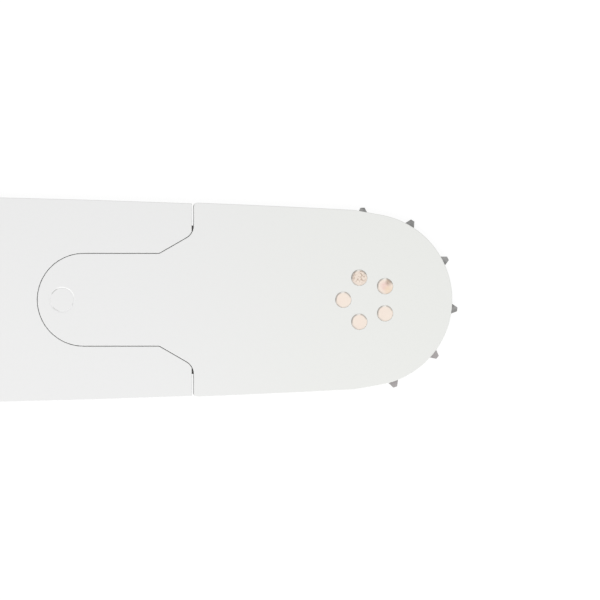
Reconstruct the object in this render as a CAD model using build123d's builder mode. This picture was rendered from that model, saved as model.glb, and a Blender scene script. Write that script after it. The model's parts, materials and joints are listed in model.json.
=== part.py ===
from build123d import *
import os
from math import acos, asin, atan2, cos, degrees, hypot, pi, radians, sin, sqrt, tan

# A chainsaw guide bar with a riveted sprocket nose, lying flat. Sizes are in millimetres.
# X runs along the bar towards the nose, Y across it and Z through its thickness.
# The origin is the middle of the stud slot, on the lower face.

# Bar plate
bar_length = 492.0  # tail end to nose tip, without the teeth
bar_thickness = 4.7
bar_belly = 5.45  # how far each rail bows out between the nose and the widest place
widest_from_nose = 216.0  # widest place, back from the nose axis
tail_corner_radius = 14.0
edge_break = 0.15  # small bevel round the painted faces

# Chain groove
groove_width = 1.6
groove_depth = 7.7
entry_width = 2.8  # where the chain runs in at the tail
entry_length = 24.0

# Saw mount at the tail
slot_width = 12.2
slot_length = 74.0
slot_from_tail = 13.0
tension_hole_diameter = 8.2
tension_hole_from_tail = 38.0
tension_hole_spacing = 34.0
oil_hole_diameter = 5.0
oil_hole_from_tail = 64.0
oil_hole_under_groove = 0.6  # how far its centre lies below the groove's floor

# Nose side plates
nose_radius = 30.2
rail_lift = 1.25  # how far the rails stand above the nose radius where they end
rail_end_from_nose = 4.4
nose_step = 0.3  # how far the nose's rails stand proud of the bar's
shoulder_from_nose = 60.5
shoulder_corner_radius = 1.2
tongue_width = 32.2
tongue_length = 54.5  # from the shoulder to the tongue's round end
flare_run = 12.0
flare_angle = 30.0
flare_toe_radius = 1.0
flare_fillet = 4.9
seam_gap = 0.22
shoulder_gap = 0.7

# Web of the bar between the side plates, and the spacer ahead of it
web_reach = 10.0  # past the shoulder, into the nose
web_clearance = 0.05  # on each face
core_gap = 0.3

# Rivets
rivet_count = 5
rivet_diameter = 5.6
rivet_circle_diameter = 16.2
rivet_proud = 0.12
mounting_rivet_diameter = 9.1
mounting_rivet_proud = 0.05
mounting_rivet_from_end = 8.5  # from the tongue's round end
rivet_clearance = 0.03

# Roller bearing
race_wall = 1.6  # steel outside the rivets
roller_diameter = 3.0
roller_gap = 0.08  # at least this much between neighbours
roller_end_clearance = 0.1
bearing_clearance = 0.03

# Nose star
tooth_count = 11
tooth_reach = 2.1  # past the side plates
tooth_tip_width = 1.4
tooth_flank_angle = 27.0  # each flank, from the tooth's own centreline
tooth_rest_angle = -6.0  # of the tooth nearest the bar's tip
gullet_radius = 3.0
sprocket_side_clearance = 0.12
sprocket_room = 1.0  # between the turning teeth and the spacer

# Modelling allowances
overcut = 2.0  # cutting shapes run this far past what they cut
pick_reach = 0.1  # a corner this near to a place is the one meant

# Places along the bar
tail_x = -slot_from_tail - slot_length / 2
nose_x = tail_x + bar_length - nose_radius
widest_x = nose_x - widest_from_nose
rail_end_x = nose_x - rail_end_from_nose
shoulder_x = nose_x - shoulder_from_nose
tongue_end_x = shoulder_x - tongue_length
tongue_centre_x = tongue_end_x + tongue_width / 2
flare_x = shoulder_x - flare_run
web_end_x = shoulder_x + web_reach
mounting_rivet_x = tongue_end_x + mounting_rivet_from_end

# Layers through the thickness
middle_z = bar_thickness / 2
plate_thickness = (bar_thickness - groove_width) / 2
web_thickness = groove_width - 2 * web_clearance
middle_plane = Plane.XY.offset(middle_z)

# Each rail is one long arc, level at the widest place, that comes down to the nose
rail_end_y = nose_radius + rail_lift
widest_y = rail_end_y - nose_step + bar_belly
rail_run = rail_end_x - widest_x
rail_radius = (rail_run**2 + bar_belly**2) / (2 * bar_belly)


def rail_y(x, depth=0.0):
    """Distance from the centreline to a rail's edge, or to a line that deep inside the edge."""
    return widest_y - rail_radius + sqrt((rail_radius - depth) ** 2 - (x - widest_x) ** 2)


def rail_arc(start_x, end_x, depth=0.0):
    """A stretch of the upper rail's edge, or of a line that deep inside it."""
    points = [(x, rail_y(x, depth)) for x in (start_x, (start_x + end_x) / 2, end_x)]
    return ThreePointArc(*points)


def tongue_edge(gap, end_y):
    """Upper half of the tongue's outline, moved out by a gap, and on along the shoulder to a height."""
    half_width = tongue_width / 2 + gap
    bend_x = flare_x - gap * tan(radians(flare_angle / 2))
    end_x = shoulder_x - gap
    CenterArc((tongue_centre_x, 0), half_width, 90, 90)
    FilletPolyline(
        (tongue_centre_x, half_width),
        (bend_x, half_width),
        (end_x, half_width + (end_x - bend_x) * tan(radians(flare_angle))),
        (end_x, end_y),
        radius=[flare_toe_radius + gap, flare_fillet - gap],
    )


def corners_at(sketch, x, y):
    """The sketch's two corners at this place and at its mirror image below the centreline."""
    return sketch.vertices().filter_by(
        lambda v: hypot(v.X - x, abs(v.Y) - y) < pick_reach
    )


os.makedirs("parts", exist_ok=True)

# What the chain groove takes from the plate, seen from above: all that lies outside its floor
with BuildSketch(middle_plane) as groove_sides:
    with BuildLine():
        groove_floor = rail_arc(tail_x - overcut, web_end_x + overcut, groove_depth)
        groove_mouth_y = widest_y + overcut
        Polyline(
            groove_floor @ 0,
            ((groove_floor @ 0).X, groove_mouth_y),
            ((groove_floor @ 1).X, groove_mouth_y),
            groove_floor @ 1,
        )
    make_face()
    mirror(about=Plane.XZ)

# The groove's flared entry: the same sides, kept inside a wedge that closes towards the nose
with BuildPart() as groove_entry:
    add(groove_sides.sketch)
    extrude(amount=entry_width, both=True)
    with BuildSketch(Plane.XZ):
        with Locations((tail_x, middle_z)):
            Polygon(
                (0, -entry_width / 2),
                (entry_length, -groove_width / 2),
                (entry_length, groove_width / 2),
                (0, entry_width / 2),
                align=None,
            )
    extrude(amount=groove_mouth_y, both=True, mode=Mode.INTERSECT)

# Bar body: one plate, cut away for the nose, with a web left in the middle of its thickness
with BuildPart() as bar_body:
    tail_y = rail_y(tail_x)
    with BuildSketch() as body_outline:
        with BuildLine():
            seam_x = shoulder_x - seam_gap
            tongue_edge(seam_gap, rail_y(seam_x))
            rail_arc(seam_x, tail_x)
            Line((tail_x, tail_y), (tail_x, 0))
            mirror(about=Plane.XZ)
        make_face()
        fillet(corners_at(body_outline, tail_x, tail_y), tail_corner_radius)

        # Both shoulders are cut back straight, which opens the gap to the nose out to the rails
        with Locations((shoulder_x, 0)):
            Rectangle(2 * shoulder_gap, 2 * widest_y, mode=Mode.SUBTRACT)
    extrude(amount=bar_thickness)

    with BuildSketch(middle_plane):
        web_root_x = tongue_end_x - seam_gap - overcut
        with Locations(((web_root_x + web_end_x) / 2, 0)):
            Rectangle(web_end_x - web_root_x, 2 * rail_y(web_root_x))
    extrude(amount=web_thickness / 2, both=True)

    # Chain groove along both rails, flared where the chain runs in
    add(groove_sides.sketch)
    extrude(amount=groove_width / 2, both=True, mode=Mode.SUBTRACT)
    add(groove_entry.part, mode=Mode.SUBTRACT)

    # Stud slot, chain tension holes, oil holes into the groove, and the mounting rivet's hole
    with BuildSketch():
        SlotOverall(slot_length, slot_width)
        tension_hole_x = tail_x + tension_hole_from_tail
        with Locations((tension_hole_x, 0)):
            with GridLocations(1, tension_hole_spacing, 1, 2):
                Circle(tension_hole_diameter / 2)
        oil_hole_x = tail_x + oil_hole_from_tail
        oil_hole_y = rail_y(oil_hole_x, groove_depth + oil_hole_under_groove)
        with Locations((oil_hole_x, 0)):
            with GridLocations(1, 2 * oil_hole_y, 1, 2):
                Circle(oil_hole_diameter / 2)
        with Locations((mounting_rivet_x, 0)):
            Circle(mounting_rivet_diameter / 2 + rivet_clearance)
    extrude(amount=bar_thickness, mode=Mode.SUBTRACT)

    painted_faces = bar_body.faces().filter_by(Plane.XY).sort_by(Axis.Z)
    rims = painted_faces[0].outer_wire().edges() + painted_faces[-1].outer_wire().edges()
    chamfer(rims, edge_break)

bar_body.part.label = "bar_body"
export_step(bar_body.part, "parts/bar_body.step")

# Nose outline: tongue, shoulders, rails that end in a relief where the star lifts the chain, round tip
with BuildSketch() as nose_outline:
    shoulder_y = rail_y(shoulder_x, -nose_step)
    relief_start = (rail_end_x, rail_y(rail_end_x, -nose_step))
    start_reach = hypot(rail_end_from_nose, relief_start[1])
    start_angle = atan2(relief_start[1], -rail_end_from_nose)
    relief_end_angle = start_angle - acos(nose_radius / start_reach)
    relief_end = (
        nose_x + nose_radius * cos(relief_end_angle),
        nose_radius * sin(relief_end_angle),
    )
    with BuildLine():
        tongue_edge(0.0, shoulder_y)
        rail_arc(shoulder_x, rail_end_x, -nose_step)
        Line(relief_start, relief_end)
        CenterArc((nose_x, 0), nose_radius, 0, degrees(relief_end_angle))
        mirror(about=Plane.XZ)
    make_face()
    fillet(corners_at(nose_outline, shoulder_x, shoulder_y), shoulder_corner_radius)

# Upper side plate, drilled for the rivets
with BuildPart() as nose_plate_upper:
    with BuildSketch(Plane.XY.offset(bar_thickness - plate_thickness)):
        add(nose_outline.sketch)
    extrude(amount=plate_thickness)
    upper_face = nose_plate_upper.faces().sort_by(Axis.Z)[-1]
    chamfer(upper_face.edges(), edge_break)
    with Locations((nose_x, 0, bar_thickness)):
        with PolarLocations(rivet_circle_diameter / 2, rivet_count, start_angle=180):
            Hole(rivet_diameter / 2 + rivet_clearance)
    with Locations((mounting_rivet_x, 0, bar_thickness)):
        Hole(mounting_rivet_diameter / 2 + rivet_clearance)

nose_plate_upper.part.label = "nose_plate_upper"
export_step(nose_plate_upper.part, "parts/nose_plate_upper.step")

# Lower side plate: the same plate, turned over
with BuildPart() as nose_plate_lower:
    mirror(nose_plate_upper.part, about=middle_plane)

nose_plate_lower.part.label = "nose_plate_lower"
export_step(nose_plate_lower.part, "parts/nose_plate_lower.step")

# Spacer between the side plates, hollowed round the turning teeth
tooth_tip_radius = nose_radius + tooth_reach
with BuildPart() as nose_core:
    with BuildSketch(middle_plane):
        with BuildLine():
            core_start_x = web_end_x + core_gap
            core_edge = rail_arc(core_start_x, nose_x, groove_depth)
            Line(core_edge @ 0, (core_start_x, 0))
            Line(core_edge @ 1, (nose_x, 0))
            mirror(about=Plane.XZ)
        make_face()
        with Locations((nose_x, 0)):
            Circle(tooth_tip_radius + sprocket_room, mode=Mode.SUBTRACT)
    extrude(amount=groove_width / 2, both=True)

nose_core.part.label = "nose_core"
export_step(nose_core.part, "parts/nose_core.step")

# Inner race, drilled for the rivets
race_radius = (rivet_circle_diameter + rivet_diameter) / 2 + race_wall
with BuildPart() as bearing_race:
    with BuildSketch(middle_plane):
        with Locations((nose_x, 0)):
            Circle(race_radius)
            with PolarLocations(rivet_circle_diameter / 2, rivet_count, start_angle=180):
                Circle(rivet_diameter / 2 + rivet_clearance, mode=Mode.SUBTRACT)
    extrude(amount=groove_width / 2, both=True)

bearing_race.part.label = "bearing_race"
export_step(bearing_race.part, "parts/bearing_race.step")

# Rollers: as many as the race takes, side by side
roller_circle_radius = race_radius + bearing_clearance + roller_diameter / 2
roller_length = groove_width - 2 * roller_end_clearance
roller_pitch_angle = 2 * asin((roller_diameter + roller_gap) / 2 / roller_circle_radius)
roller_count = int(2 * pi / roller_pitch_angle)
for index in range(roller_count):
    roller_name = f"roller_{index + 1:02d}"
    with BuildPart() as roller:
        with Locations((nose_x, 0, middle_z)):
            with PolarLocations(roller_circle_radius, 1, index * 360 / roller_count):
                Cylinder(roller_diameter / 2, roller_length)
    roller.part.label = roller_name
    export_step(roller.part, f"parts/{roller_name}.step")

# Nose star: a disc with a rounded V cut between each two teeth
with BuildSketch() as gullet:
    half_pitch = pi / tooth_count
    corner_angle = half_pitch - asin(tooth_tip_width / 2 / tooth_tip_radius)
    cut_slope = tan(half_pitch + radians(tooth_flank_angle))
    foot = tooth_tip_radius * (cos(corner_angle) - sin(corner_angle) / cut_slope)
    mouth = tooth_tip_radius + overcut
    mouth_half_width = (mouth - foot) * cut_slope
    with BuildLine():
        FilletPolyline(
            (mouth, -mouth_half_width),
            (foot, 0),
            (mouth, mouth_half_width),
            radius=gullet_radius,
        )
        Line((mouth, -mouth_half_width), (mouth, mouth_half_width))
    make_face()

sprocket_bore_radius = race_radius + roller_diameter + 2 * bearing_clearance
with BuildPart() as nose_sprocket:
    with BuildSketch(middle_plane):
        with Locations((nose_x, 0)):
            Circle(tooth_tip_radius)
            gullet_angle = tooth_rest_angle + degrees(half_pitch)
            with PolarLocations(0, tooth_count, start_angle=gullet_angle):
                add(gullet.sketch, mode=Mode.SUBTRACT)
            Circle(sprocket_bore_radius, mode=Mode.SUBTRACT)
    extrude(amount=groove_width / 2 - sprocket_side_clearance, both=True)

nose_sprocket.part.label = "nose_sprocket"
export_step(nose_sprocket.part, "parts/nose_sprocket.step")

# The ring of rivets through the nose, and the single one that fastens its tongue
with BuildPart() as nose_rivets:
    with Locations((nose_x, 0, middle_z)):
        with PolarLocations(rivet_circle_diameter / 2, rivet_count, start_angle=180):
            Cylinder(rivet_diameter / 2, bar_thickness + 2 * rivet_proud)

nose_rivets.part.label = "nose_rivets"
export_step(nose_rivets.part, "parts/nose_rivets.step")

with BuildPart() as mounting_rivet:
    with Locations((mounting_rivet_x, 0, middle_z)):
        Cylinder(mounting_rivet_diameter / 2, bar_thickness + 2 * mounting_rivet_proud)

mounting_rivet.part.label = "mounting_rivet"
export_step(mounting_rivet.part, "parts/mounting_rivet.step")
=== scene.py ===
import json
import math

import bmesh
import bpy
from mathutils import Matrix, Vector


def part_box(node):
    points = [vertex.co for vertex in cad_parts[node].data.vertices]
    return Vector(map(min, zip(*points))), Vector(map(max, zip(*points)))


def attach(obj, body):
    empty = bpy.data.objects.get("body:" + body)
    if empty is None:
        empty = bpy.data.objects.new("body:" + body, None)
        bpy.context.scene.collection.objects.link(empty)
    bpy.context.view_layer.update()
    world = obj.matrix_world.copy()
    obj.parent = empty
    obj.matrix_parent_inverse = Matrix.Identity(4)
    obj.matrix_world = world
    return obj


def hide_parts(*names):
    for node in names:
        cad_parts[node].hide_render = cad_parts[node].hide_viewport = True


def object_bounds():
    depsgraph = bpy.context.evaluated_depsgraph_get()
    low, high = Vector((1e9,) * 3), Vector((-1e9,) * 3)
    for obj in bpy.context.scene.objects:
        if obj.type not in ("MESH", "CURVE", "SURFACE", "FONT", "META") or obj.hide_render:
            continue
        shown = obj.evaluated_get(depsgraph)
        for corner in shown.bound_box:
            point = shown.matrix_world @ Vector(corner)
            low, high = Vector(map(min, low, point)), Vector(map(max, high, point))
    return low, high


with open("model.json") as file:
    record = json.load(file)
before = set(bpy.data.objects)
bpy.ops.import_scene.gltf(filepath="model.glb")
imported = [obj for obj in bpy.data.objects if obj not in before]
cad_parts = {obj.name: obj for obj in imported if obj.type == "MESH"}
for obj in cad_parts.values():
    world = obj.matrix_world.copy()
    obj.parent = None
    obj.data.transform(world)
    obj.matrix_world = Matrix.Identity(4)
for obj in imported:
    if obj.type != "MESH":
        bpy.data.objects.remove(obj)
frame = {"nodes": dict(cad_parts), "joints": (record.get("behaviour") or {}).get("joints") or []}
cad_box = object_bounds()

# Sizes are in metres. X runs along the bar towards the nose, Y across it, Z up through its thickness.
MM = 0.001

# Camera: it looks down on the nose, from a little way back along the bar
PHOTO_WIDTH = 210 * MM
PHOTO_CENTRE_FROM_NOSE = Vector((-23.3 * MM, -0.1 * MM))
CAMERA_DISTANCE = 1.6
CAMERA_LEAN = math.radians(3.4)
SENSOR_WIDTH = 36.0  # in millimetres, as the camera's own settings are

# Lamp: large and soft, above the near side of the bar
LAMP_FROM_AIM = Vector((-0.16, -0.46, 0.58))
LAMP_SIDE = 0.9
LAMP_POWER = 3.55

# Floor and world
FLOOR_SIDE = 40.0
FLOOR_GLOW = 0.9
FLOOR_SHADOW = (0.16, 0.16, 0.16, 1)
FLOOR_BOUNCE = (0.8, 0.8, 0.8, 1)
WORLD_STRENGTH = 0.66
BACKGROUND_STRENGTH = 1.0
WHITE = (1, 1, 1, 1)

# Noises: about how many waves to the metre, how many finer layers lie on them and how strong those are, how
# many times more waves along each axis, and a shift that picks another part of the noise
NOISE_MEAN = 0.5
PAINT_CLOUDS = {"scale": 14, "detail": 2.0}
PAINT_PEEL = {"scale": 900, "detail": 2.0}
PAINT_SHEEN = {"scale": 60}
PAINT_END = {"scale": 1500}
RAIL_STAINS = {"scale": 120, "detail": 4.0, "roughness": 0.6}
GRINDING = {"scale": 1.0, "detail": 4.0, "roughness": 0.7, "stretch": (40, 40, 9000)}
FURROWS = {"scale": 1.0, "detail": 2.0, "roughness": 0.6, "stretch": (2200, 2200, 90)}
WORN_CLOUDS = {"detail": 4.0, "roughness": 0.6}
WORN_PITS = {"detail": 3.0, "roughness": 0.6}
COPPER_CLOUDS = {"scale": 260, "detail": 2.0}
COPPER_SPECKS = {"scale": 1550, "detail": 1.5, "shift": (0.0, 0.0, 0.7)}

# Where in a noise's range a colour starts to change into the next one, and where it has changed
RAIL_STAIN_RANGE = (0.45, 0.75)
FURROW_RANGE = (0.35, 0.68)
WORN_CLOUD_RANGE = (0.35, 0.7)
COPPER_SPECK_RANGE = (0.43, 0.60)

# Paint
EDGE_BREAK = 0.15 * MM  # the bevel of the plates' edges
PAINT_WRAP = 0.10 * MM  # how far the paint runs down the walls, past the bevel
PAINT_END_WANDER = 0.08 * MM
PAINT_END_FADE = 0.02 * MM
PAINT_WHITE = (0.845, 0.845, 0.845, 1)
PAINT_SHADED = (0.835, 0.836, 0.832, 1)
PAINT_WARM = (0.838, 0.845, 0.820, 1)
WARM_FROM = -90 * MM  # the paint grows warmer from here, told from the nose axis,
WARM_FULL = 20 * MM  # to here
PEEL_DEPTH = 0.006 * MM
PAINT_ROUGHNESS = (0.36, 0.12)  # the least, and how much more there is at most
RIVET_PAINT_ROUGHNESS = (0.30, 0.12)

# Rails and other bare walls
RAIL_FROM = 27 * MM  # the ground rails fade in from here, outside all the holes,
RAIL_FULL = 31 * MM  # to here
TIP_FROM = -10 * MM  # past here, told from the nose axis, all walls are ground
END_WALL_FACING = 0.9  # a wall that faces along the bar more than this is no rail
GROUND_STEEL = (0.58, 0.57, 0.55, 1)
STAINED_STEEL = (0.40, 0.385, 0.36, 1)
# Cut steel's own dark oxide, kept darker still as painted shade, so that the narrow seam between bar and nose
# reads dark
CUT_STEEL_AND_SEAM_SHADE = (0.17, 0.167, 0.162, 1)
CUT_STEEL_LIGHT = (0.26, 0.255, 0.245, 1)
GROUND_ROUGHNESS = 0.22
CUT_ROUGHNESS = 0.52
BARE_ROUGHNESS_SPREAD = 0.2
GRINDING_DEPTH = 0.004 * MM
FURROW_HEIGHT = 4.0  # in grinding depths

# Worn metals
GRAINS_IN_CLOUD = 6
WORN_ROUGHNESS_SPREAD = 0.2
PIT_DEPTH = 0.006 * MM
BEARING_STEEL = (0.55, 0.55, 0.56, 1)
BEARING_STEEL_DARK = (0.38, 0.37, 0.37, 1)
BEARING_GRAIN = 1500  # in waves to the metre
BEARING_ROUGHNESS = 0.3
PLAIN_GRAIN = 900
PLAIN_ROUGHNESS = 0.5

# Star
HARD_STEEL = (0.365, 0.365, 0.36, 1)
HARD_STEEL_DARK = (0.175, 0.175, 0.17, 1)
# Painted light: the star's steel is lighter and pinker on the side nearer the lamp
HARD_STEEL_PAINTED_LIT = (0.475, 0.445, 0.445, 1)
HARD_GRAIN = 1800
HARD_ROUGHNESS = 0.45
STAR_LIGHT_FULL = -20 * MM  # the painted light grows from the centreline to here, and is this strong there
STAR_LIGHT_AMOUNT = 0.8  # and is this strong there
STAR_WELD = 0.001 * MM  # the corners that its faces share lie closer than this
STAR_EDGE = 0.12 * MM
STAR_EDGE_STEPS = 2
STAR_EDGE_ANGLE = math.radians(35)

# Turned rivets
RIVET_SEGMENTS = 64
CAP_SHARE = 0.05  # an end's middle is a flat cap, with this share of the rivet's radius

# Nose rivets
RIVET_COUNT = 5
CROWN = 0.012 * MM
CROWN_PLACE = 0.55  # at this share of the radius the end
CROWN_FALL = 0.4  # has fallen by this share of the crown
RIM_WIDTH = 0.75 * MM
RIM_DROP = 0.16 * MM
RIM_TURN = math.radians(60)  # the angle that the rim's round turns through
RIM_STEPS = 6
RIM_AND_LIP = 1.2  # a narrow lip of wall follows the rim: both together, in rim drops
COPPERED = (0.915, 0.79, 0.71, 1)
COPPERED_PALE = (0.93, 0.84, 0.74, 1)
COPPERED_PINK = (0.86, 0.615, 0.57, 1)
COPPERED_ORANGE = (0.88, 0.71, 0.55, 1)
GRIME = (0.44, 0.315, 0.235, 1)
# Painted shade and a painted highlight for the rivets' rims: they stand in for how light falls on each side
# of a rim
RIM_PAINTED_SHADE = (0.26, 0.26, 0.25, 1)
RIM_PAINTED_HIGHLIGHT = (0.97, 0.97, 0.95, 1)
COPPERED_ROUGHNESS = (0.36, 0.16)
SPECK_DEPTH = 0.005 * MM

# Stains on a rivet's ends: the place, along and across from its middle, and the reach, all in shares of the
# rivet's radius, then how strong and how mottled the stain is, and its colour
REAR_STAINS = (
    (0.0, 0.35, 1.5, 0.72, 0.85, GRIME),
)
FRONT_STAINS = (
    (0.0, 0.0, 0.8, 0.75, 0.2, COPPERED_PINK),
    (0.45, -0.45, 0.8, 0.8, 0.2, COPPERED_ORANGE),
    (0.5, 0.5, 0.62, 0.75, 0.4, GRIME),
)
STAIN_CORE = 0.3  # a stain has its full strength within this share of its reach

# Painted shade and painted highlights round a rim or a groove: towards which side, degrees to each side that
# are fully covered, degrees to each side that are covered at all, how strong, and the colour
RIM_PAINTED_LIGHT = (
    (142, 30, 62, 0.62, RIM_PAINTED_SHADE),
    (52, 18, 42, 0.52, RIM_PAINTED_SHADE),
    (96, 5, 20, 0.60, RIM_PAINTED_HIGHLIGHT),
    (205, 20, 60, 0.28, RIM_PAINTED_SHADE),
    (268, 20, 60, 0.10, RIM_PAINTED_SHADE),
)
RIM_SLOPES = (0.03, 0.24)  # the rim's painted shade and highlight grow with its slope, from the first of these to the second

# The painted rivet and its ring groove
RING_WIDTH = 0.5 * MM
RING_DEPTH = 0.10 * MM
RING_LIP = 0.10 * MM  # the groove's rounded inner lip starts this far inside its foot,
RING_LIP_END = 0.04 * MM  # ends this far inside it,
RING_LIP_DROP = 0.03 * MM  # and falls this far
PAINT_FILL = 0.04 * MM  # the paint bridges the joint round the rivet, this far to each side,
PAINT_SAG = 0.01 * MM  # and lies this far below the face there
WALL_RING_DEPTH = 2 * RING_DEPTH  # the wall's first ring of corners lies this deep
# Painted shade and a painted highlight for the ring groove: they stand in for how light falls on its walls
RING_SHADE = (0.46, 0.46, 0.45, 1)
RING_PAINTED_HIGHLIGHT = (0.97, 0.97, 0.96, 1)
RING_PAINTED_LIGHT = (  # as for a rim, then how far across the groove: 0 is its foot, 1 its outer edge
    (62, 32, 58, 0.95, RING_PAINTED_HIGHLIGHT, 0.6),
    (133, 10, 22, 0.75, RING_SHADE, 0.0),
    (236, 10, 22, 0.50, RING_SHADE, 0.0),
    (336, 3, 9, 0.40, RING_SHADE, 0.0),
)
RING_PAINTED_LIGHT_REACH = 0.24 * MM
RING_PAINTED_LIGHT_CORE = 0.06 * MM

# Places that the frame gives
joint_places = {joint["name"]: Vector(joint["pos_m"]) for joint in frame["joints"]}
nose_axis = joint_places["sprocket_spin"]
body_low, body_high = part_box("bar_body")
middle_z = (body_low.z + body_high.z) / 2
half_thickness = (body_high.z - body_low.z) / 2
floor_z = cad_box[0].z


class Nodes:
    """The node tree of a material or of the world, with short ways to add and join its nodes."""

    def __init__(self, owner):
        owner.use_nodes = True
        self.owner = owner
        self.tree = owner.node_tree
        self.tree.nodes.clear()

    def add(self, kind, inputs=None, **settings):
        """A new node, with its settings, and its inputs set to values or joined to outputs."""
        node = self.tree.nodes.new(kind)
        for name, value in settings.items():
            setattr(node, name, value)
        for key, value in (inputs or {}).items():
            if isinstance(value, bpy.types.NodeSocket):
                self.tree.links.new(value, node.inputs[key])
            else:
                node.inputs[key].default_value = value
        return node

    def math(self, operation, *values):
        """A number worked out of others."""
        return self.add("ShaderNodeMath", dict(enumerate(values)), operation=operation).outputs[0]

    def vector(self, operation, *values):
        """What is worked out of vectors: the first output is a vector, the second a number."""
        return self.add("ShaderNodeVectorMath", dict(enumerate(values)), operation=operation).outputs

    def mix(self, share, first, second):
        """A colour that goes from the first to the second as share goes from 0 to 1."""
        return self.add("ShaderNodeMix", {0: share, 6: first, 7: second}, data_type="RGBA").outputs[2]

    def mix_number(self, share, first, second):
        """A number that goes from the first to the second as share goes from 0 to 1."""
        return self.add("ShaderNodeMix", {0: share, 2: first, 3: second}).outputs[0]

    def ramp(self, value, low, high, to_low=0.0, to_high=1.0):
        """Value taken smoothly from the range low to high, to the range to_low to to_high."""
        inputs = {"Value": value, "From Min": low, "From Max": high, "To Min": to_low, "To Max": to_high}
        return self.add("ShaderNodeMapRange", inputs, interpolation_type="SMOOTHSTEP").outputs[0]

    def place(self):
        """Where a point lies on the piece at rest, in metres."""
        return self.add("ShaderNodeTexCoord").outputs["Object"]

    def coordinates(self):
        """The same place as three numbers, X, Y and Z."""
        return self.add("ShaderNodeSeparateXYZ", {0: self.place()}).outputs

    def noise(self, scale, detail=3.0, roughness=0.5, stretch=(1, 1, 1), shift=(0, 0, 0)):
        """Noise with about scale waves to the metre, finer or coarser along each axis as stretch says."""
        inputs = {"Vector": self.place(), "Scale": stretch, "Location": shift}
        mapped = self.add("ShaderNodeMapping", inputs).outputs[0]
        inputs = {"Vector": mapped, "Scale": scale, "Detail": detail, "Roughness": roughness}
        return self.add("ShaderNodeTexNoise", inputs).outputs["Fac"]

    def uneven(self, noise, least, spread):
        """A number that a noise takes from the least up to spread more."""
        return self.math("MULTIPLY_ADD", noise, spread, least)

    def flattened(self, vector):
        """The length and the direction of a vector seen from above."""
        flat = self.vector("MULTIPLY", vector, (1, 1, 0))[0]
        return self.vector("LENGTH", flat)[1], self.vector("NORMALIZE", flat)[0]

    def towards(self, direction, degrees, full, none):
        """1 where a direction lies within full degrees of a side, falling to 0 at none degrees from it.

        The side is told in degrees round from the bar's length.
        """
        side = (math.cos(math.radians(degrees)), math.sin(math.radians(degrees)), 0)
        agreement = self.vector("DOT_PRODUCT", direction, side)[1]
        return self.ramp(agreement, math.cos(math.radians(none)), math.cos(math.radians(full)))

    def away_from(self, place):
        """Distance from a place, in metres."""
        return self.vector("DISTANCE", self.place(), place)[1]

    def facing(self):
        """Which way the surface faces."""
        return self.add("ShaderNodeNewGeometry").outputs["True Normal"]

    def shown(self):
        """1 for the rays that show the background: the camera's, and those in reflections and in glass."""
        path = self.add("ShaderNodeLightPath").outputs
        mirrored = self.math("MAXIMUM", path["Is Glossy Ray"], path["Is Transmission Ray"])
        return self.math("MAXIMUM", path["Is Camera Ray"], mirrored)

    def bump(self, height, depth, below=None):
        """A relief of that depth in metres, on top of another one."""
        inputs = {"Height": height, "Distance": depth, "Strength": 1.0}
        if below:
            inputs["Normal"] = below
        return self.add("ShaderNodeBump", inputs).outputs[0]

    def surface(self, inputs):
        """Ends the tree in a shader with these inputs."""
        shader = self.add("ShaderNodeBsdfPrincipled", inputs)
        self.add("ShaderNodeOutputMaterial", {"Surface": shader.outputs[0]})
        return self.owner


def new_material(name):
    """The node tree of a new material."""
    return Nodes(bpy.data.materials.new(name))


def paint_colour(n):
    """Off-white in wide, faint clouds, a touch warmer towards the nose."""
    x = n.coordinates()["X"]
    clouds = n.mix(n.noise(**PAINT_CLOUDS), PAINT_WHITE, PAINT_SHADED)
    return n.mix(n.ramp(x, nose_axis.x + WARM_FROM, nose_axis.x + WARM_FULL), clouds, PAINT_WARM)


def paint_relief(n):
    """The fine orange peel of baked paint."""
    return n.bump(n.noise(**PAINT_PEEL), PEEL_DEPTH)


def paint_cover(n):
    """1 on the faces, their bevels and the paint's narrow strip on the walls, and 0 on the bare walls."""
    z = n.coordinates()["Z"]
    from_middle = n.math("ABSOLUTE", n.math("SUBTRACT", z, middle_z))
    ragged = n.math("MULTIPLY", n.math("SUBTRACT", n.noise(**PAINT_END), NOISE_MEAN), PAINT_END_WANDER)
    end = half_thickness - EDGE_BREAK - PAINT_WRAP
    return n.ramp(n.math("ADD", from_middle, ragged), end - PAINT_END_FADE, end + PAINT_END_FADE)


def ground_share(n):
    """1 on the walls that are ground, along the rails and round the tip, and 0 on those that are only cut."""
    place = n.coordinates()
    lengthwise = n.math("ABSOLUTE", n.vector("DOT_PRODUCT", n.facing(), (1, 0, 0))[1])
    outside = n.ramp(n.math("ABSOLUTE", place["Y"]), RAIL_FROM, RAIL_FULL)
    along_rail = n.math("MULTIPLY", outside, n.math("LESS_THAN", lengthwise, END_WALL_FACING))
    at_tip = n.math("GREATER_THAN", place["X"], nose_axis.x + TIP_FROM)
    return n.math("MAXIMUM", along_rail, at_tip)


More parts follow.
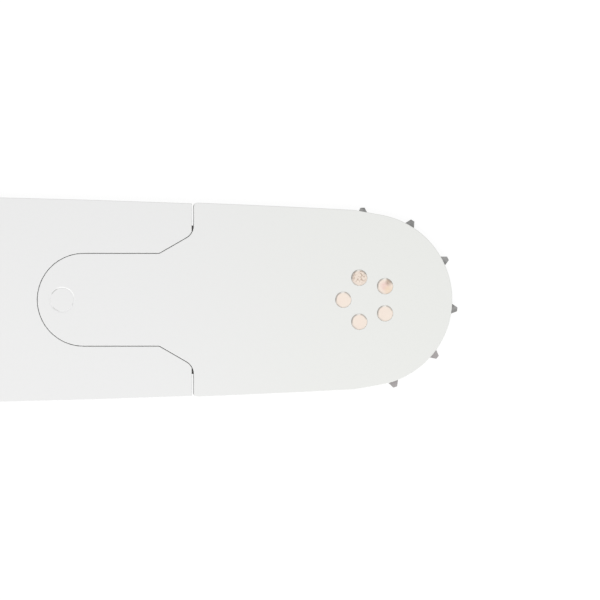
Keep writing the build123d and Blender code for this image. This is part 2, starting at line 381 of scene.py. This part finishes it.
def painted_steel():
    """Paint on both faces, ground steel on the rails, and furrowed cut steel on the other walls."""
    n = new_material("painted_steel")
    painted = paint_cover(n)
    bare = n.math("SUBTRACT", 1.0, painted)
    ground = ground_share(n)
    grinding = n.noise(**GRINDING)
    furrows = n.noise(**FURROWS)
    stained = n.ramp(n.noise(**RAIL_STAINS), *RAIL_STAIN_RANGE)
    ground_colour = n.mix(stained, GROUND_STEEL, STAINED_STEEL)
    # The cut walls' dark colour is partly their oxide and partly painted shade for the seam between bar and
    # nose
    cut_colour = n.mix(n.ramp(furrows, *FURROW_RANGE), CUT_STEEL_AND_SEAM_SHADE, CUT_STEEL_LIGHT)
    bare_colour = n.mix(ground, cut_colour, ground_colour)
    least_roughness = n.mix_number(ground, CUT_ROUGHNESS, GROUND_ROUGHNESS)
    bare_roughness = n.uneven(grinding, least_roughness, BARE_ROUGHNESS_SPREAD)
    paint_roughness = n.uneven(n.noise(**PAINT_SHEEN), *PAINT_ROUGHNESS)
    height = n.mix_number(ground, n.math("MULTIPLY", furrows, FURROW_HEIGHT), grinding)
    return n.surface({
        "Base Color": n.mix(painted, bare_colour, paint_colour(n)),
        "Metallic": bare,
        "Roughness": n.mix_number(painted, bare_roughness, paint_roughness),
        "Normal": n.bump(n.math("MULTIPLY", height, bare), GRINDING_DEPTH, paint_relief(n)),
    })


def painted_rivet(centre, radius):
    """The same paint over a whole rivet, with painted shade and a painted highlight in parts of its ring
    groove.
    """
    n = new_material("painted_rivet")
    reach, bearing = n.flattened(n.vector("SUBTRACT", n.place(), centre)[0])
    groove_foot = radius - RING_WIDTH
    colour = paint_colour(n)
    for degrees, full, none, amount, stain_or_light_colour, out in RING_PAINTED_LIGHT:
        from_line = n.math("ABSOLUTE", n.math("SUBTRACT", reach, groove_foot + out * RING_WIDTH))
        near_line = n.ramp(from_line, RING_PAINTED_LIGHT_REACH, RING_PAINTED_LIGHT_CORE, 0.0, amount)
        share = n.math("MULTIPLY", near_line, n.towards(bearing, degrees, full, none))
        colour = n.mix(share, colour, stain_or_light_colour)
    return n.surface({
        "Base Color": colour,
        "Roughness": n.uneven(n.noise(**PAINT_SHEEN), *RIVET_PAINT_ROUGHNESS),
        "Normal": paint_relief(n),
    })


def clouded(n, light, dark, grain):
    """The clouded colour of worn metal."""
    clouds = n.noise(grain / GRAINS_IN_CLOUD, **WORN_CLOUDS)
    return n.mix(n.ramp(clouds, *WORN_CLOUD_RANGE), light, dark)


def pitted(n, colour, grain, roughness):
    """Ends a tree in finely pitted bare metal of that colour."""
    pits = n.noise(grain, **WORN_PITS)
    least_roughness = roughness - WORN_ROUGHNESS_SPREAD / 2
    return n.surface({
        "Base Color": colour,
        "Metallic": 1.0,
        "Roughness": n.uneven(pits, least_roughness, WORN_ROUGHNESS_SPREAD),
        "Normal": n.bump(pits, PIT_DEPTH),
    })


def plain_steel():
    """The spacer's steel."""
    n = new_material("plain_steel")
    colour = clouded(n, STAINED_STEEL, HARD_STEEL_DARK, PLAIN_GRAIN)
    return pitted(n, colour, PLAIN_GRAIN, PLAIN_ROUGHNESS)


def bearing_steel():
    """The bright steel of race and rollers."""
    n = new_material("bearing_steel")
    colour = clouded(n, BEARING_STEEL, BEARING_STEEL_DARK, BEARING_GRAIN)
    return pitted(n, colour, BEARING_GRAIN, BEARING_ROUGHNESS)


def hard_steel():
    """The star's steel, with painted light: lighter and faintly pinker on the side that rests below the
    centreline, nearer the lamp.
    """
    n = new_material("hard_steel")
    y = n.coordinates()["Y"]
    painted_light = n.ramp(y, 0.0, STAR_LIGHT_FULL, 0.0, STAR_LIGHT_AMOUNT)
    colour = n.mix(painted_light, clouded(n, HARD_STEEL, HARD_STEEL_DARK, HARD_GRAIN), HARD_STEEL_PAINTED_LIT)
    return pitted(n, colour, HARD_GRAIN, HARD_ROUGHNESS)


def coppered_metal(stains):
    """Coppered rivet ends. A stain is a place, a reach, how strong and how mottled it is, and a colour."""
    n = new_material("coppered_metal")
    colour = n.mix(n.noise(**COPPER_CLOUDS), COPPERED, COPPERED_PALE)
    specks = n.noise(**COPPER_SPECKS)
    for centre, reach, amount, mottled, stain_or_light_colour in stains:
        near = n.ramp(n.away_from(centre), reach, STAIN_CORE * reach, 0.0, amount)
        share = n.ramp(specks, *COPPER_SPECK_RANGE, 1 - mottled, 1.0)
        colour = n.mix(n.math("MULTIPLY", near, share), colour, stain_or_light_colour)
    # Painted shade and a painted highlight on the rims, set by the way each part of a rim faces
    slope, bearing = n.flattened(n.facing())
    for degrees, full, none, amount, stain_or_light_colour in RIM_PAINTED_LIGHT:
        on_rim = n.ramp(slope, *RIM_SLOPES, 0.0, amount)
        share = n.math("MULTIPLY", on_rim, n.towards(bearing, degrees, full, none))
        colour = n.mix(share, colour, stain_or_light_colour)
    return n.surface({
        "Base Color": colour,
        "Metallic": 1.0,
        "Roughness": n.uneven(specks, *COPPERED_ROUGHNESS),
        "Normal": n.bump(specks, SPECK_DEPTH),
    })


def dress(name, material):
    """Gives a CAD node its material."""
    materials = frame["nodes"][name].data.materials
    materials.clear()
    materials.append(material)


def turned(mesh, centre, profile):
    """Adds a closed turned solid to a mesh: profile is (radius, height) pairs, from its top to its foot."""
    rings = []
    for radius, height in profile:
        ring = []
        for step in range(RIVET_SEGMENTS):
            turn = 2 * math.pi * step / RIVET_SEGMENTS
            offset = Vector((radius * math.cos(turn), radius * math.sin(turn), height))
            ring.append(mesh.verts.new(centre + offset))
        rings.append(ring)
    for upper, lower in zip(rings, rings[1:]):
        for step in range(RIVET_SEGMENTS):
            after = (step + 1) % RIVET_SEGMENTS
            mesh.faces.new((upper[step], lower[step], lower[after], upper[after]))
    mesh.faces.new(rings[0])
    mesh.faces.new(rings[-1][::-1])


def both_ways(half_profile):
    """A profile from top to foot, from its upper half."""
    return half_profile + [(radius, -height) for radius, height in reversed(half_profile)]


def piece(name, mesh, material, smooth=True):
    """A new object of that mesh and material."""
    data = bpy.data.meshes.new(name)
    mesh.to_mesh(data)
    mesh.free()
    for face in data.polygons:
        face.use_smooth = smooth
    data.materials.append(material)
    made = bpy.data.objects.new(name, data)
    bpy.context.scene.collection.objects.link(made)
    return made


def nose_rivet_places():
    """The nose rivets' centres and their radius, read from their solids.

    There is one rivet in each equal sector round the nose axis.
    """
    sector = 2 * math.pi / RIVET_COUNT
    groups = {}
    for vertex in frame["nodes"]["nose_rivets"].data.vertices:
        offset = vertex.co - nose_axis
        index = round(math.atan2(offset.y, -offset.x) / sector) % RIVET_COUNT
        groups.setdefault(index, []).append(vertex.co)
    centres = []
    for index in sorted(groups):
        xs = [point.x for point in groups[index]]
        ys = [point.y for point in groups[index]]
        centres.append(Vector(((min(xs) + max(xs)) / 2, (min(ys) + max(ys)) / 2, middle_z)))
    radius = (max(xs) - min(xs)) / 2  # the last one's, as they are all alike
    return centres, radius


def nose_rivet_profile(radius, top):
    """The upper half of a nose rivet: a slightly crowned end and a rounded rim."""
    half_profile = [(CAP_SHARE * radius, top), (CROWN_PLACE * radius, top - CROWN_FALL * CROWN)]
    for step in range(RIM_STEPS + 1):
        turn = RIM_TURN * step / RIM_STEPS
        out = math.sin(turn) / math.sin(RIM_TURN)
        down = (1 - math.cos(turn)) / (1 - math.cos(RIM_TURN))
        half_profile.append((radius - RIM_WIDTH * (1 - out), top - CROWN - RIM_DROP * down))
    half_profile.append((radius, top - CROWN - RIM_AND_LIP * RIM_DROP))
    return half_profile


def nose_rivet_stains(centres, radius, top):
    """The stains on both ends of the two rivets on the far side of the bar."""
    far_side = sorted(centres, key=lambda centre: centre.y)[-2:]
    rear, front = sorted(far_side, key=lambda centre: centre.x)
    stains = []
    for centre, marks in ((rear, REAR_STAINS), (front, FRONT_STAINS)):
        for height in (top, -top):
            for along, across, reach, amount, mottled, colour in marks:
                place = centre + Vector((along * radius, across * radius, height))
                stains.append((place, reach * radius, amount, mottled, colour))
    return stains


def make_nose_rivets():
    """The five rivets that clamp the nose, in place of their plain solids."""
    centres, radius = nose_rivet_places()
    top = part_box("nose_rivets")[1].z - middle_z
    mesh = bmesh.new()
    for centre in centres:
        turned(mesh, centre, both_ways(nose_rivet_profile(radius, top)))
    rivets = piece("rivet_ends", mesh, coppered_metal(nose_rivet_stains(centres, radius, top)))
    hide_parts("nose_rivets")
    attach(rivets, "bar")


def make_mounting_rivet():
    """The painted-over rivet: a faint ring is all that shows of it."""
    low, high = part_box("mounting_rivet")
    radius = (high.x - low.x) / 2
    centre = (low + high) / 2
    groove_foot = radius - RING_WIDTH
    half_profile = [
        (CAP_SHARE * radius, half_thickness),
        (groove_foot - RING_LIP, half_thickness),
        (groove_foot - RING_LIP_END, half_thickness - RING_LIP_DROP),
        (groove_foot, half_thickness - RING_DEPTH),
        (radius - PAINT_FILL, half_thickness - PAINT_SAG),
        (radius + PAINT_FILL, half_thickness - PAINT_SAG),
        (radius + PAINT_FILL, half_thickness - WALL_RING_DEPTH),
    ]
    mesh = bmesh.new()
    turned(mesh, centre, both_ways(half_profile))
    rivet = piece("mounting_rivet_painted", mesh, painted_rivet(centre, radius), smooth=False)
    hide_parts("mounting_rivet")
    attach(rivet, "bar")


def make_star():
    """The toothed star with its stamped edges rounded."""
    mesh = bmesh.new()
    mesh.from_mesh(frame["nodes"]["nose_sprocket"].data)
    bmesh.ops.remove_doubles(mesh, verts=mesh.verts, dist=STAR_WELD)
    star = piece("star_rounded", mesh, hard_steel(), smooth=False)
    rounding = star.modifiers.new("rounding", "BEVEL")
    rounding.width = STAR_EDGE
    rounding.segments = STAR_EDGE_STEPS
    rounding.limit_method = "ANGLE"
    rounding.angle_limit = STAR_EDGE_ANGLE
    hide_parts("nose_sprocket")
    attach(star, "sprocket")


def make_floor():
    """A white floor that still takes the shadow."""
    n = new_material("floor")
    glow = n.add("ShaderNodeEmission", {"Color": WHITE, "Strength": FLOOR_GLOW}).outputs[0]
    shadow = n.add("ShaderNodeBsdfDiffuse", {"Color": FLOOR_SHADOW}).outputs[0]
    shown = n.add("ShaderNodeAddShader", {0: glow, 1: shadow}).outputs[0]
    bounce = n.add("ShaderNodeBsdfDiffuse", {"Color": FLOOR_BOUNCE}).outputs[0]
    mixed = n.add("ShaderNodeMixShader", {0: n.shown(), 1: bounce, 2: shown}).outputs[0]
    n.add("ShaderNodeOutputMaterial", {"Surface": mixed})
    mesh = bmesh.new()
    bmesh.ops.create_grid(mesh, x_segments=1, y_segments=1, size=FLOOR_SIDE / 2)
    floor = piece("floor", mesh, n.owner, smooth=False)
    floor.location = (nose_axis.x, 0, floor_z)


def make_world():
    """Even light from all round, seen as white."""
    world = bpy.data.worlds.new("studio")
    bpy.context.scene.world = world
    n = Nodes(world)
    light = n.add("ShaderNodeBackground", {"Color": WHITE, "Strength": WORLD_STRENGTH}).outputs[0]
    background = n.add("ShaderNodeBackground", {"Color": WHITE, "Strength": BACKGROUND_STRENGTH}).outputs[0]
    mixed = n.add("ShaderNodeMixShader", {0: n.shown(), 1: light, 2: background}).outputs[0]
    n.add("ShaderNodeOutputWorld", {"Surface": mixed})


def make_lamp(aim):
    """A square soft lamp that points at a place. The metal mirrors the white background and not the lamp."""
    data = bpy.data.lights.new("key", "AREA")
    data.shape = "SQUARE"
    data.size = LAMP_SIDE
    data.energy = LAMP_POWER
    lamp = bpy.data.objects.new("key", data)
    lamp.location = aim + LAMP_FROM_AIM
    lamp.rotation_euler = (-LAMP_FROM_AIM).to_track_quat("-Z", "Y").to_euler()
    lamp.visible_glossy = False
    bpy.context.scene.collection.objects.link(lamp)


def make_camera(aim):
    """A long lens that points at a place."""
    data = bpy.data.cameras.new("camera")
    data.sensor_width = SENSOR_WIDTH
    data.lens = SENSOR_WIDTH * CAMERA_DISTANCE / PHOTO_WIDTH
    camera = bpy.data.objects.new("camera", data)
    back = Vector((-math.sin(CAMERA_LEAN), 0, math.cos(CAMERA_LEAN)))
    camera.location = aim + CAMERA_DISTANCE * back
    camera.rotation_euler = (0, -CAMERA_LEAN, 0)
    bpy.context.scene.collection.objects.link(camera)
    bpy.context.scene.camera = camera


# Object
steel_and_paint = painted_steel()
for name in ("bar_body", "nose_plate_upper", "nose_plate_lower"):
    dress(name, steel_and_paint)
dress("nose_core", plain_steel())
bright_steel = bearing_steel()
for name in frame["nodes"]:
    if name.startswith("roller_") or name == "bearing_race":
        dress(name, bright_steel)
make_nose_rivets()
make_mounting_rivet()
make_star()

# Stage
view_centre = nose_axis.xy + PHOTO_CENTRE_FROM_NOSE
aim = Vector((view_centre.x, view_centre.y, body_high.z))
make_floor()
make_world()
make_lamp(aim)
make_camera(aim)
bpy.context.scene.view_settings.view_transform = "Standard"
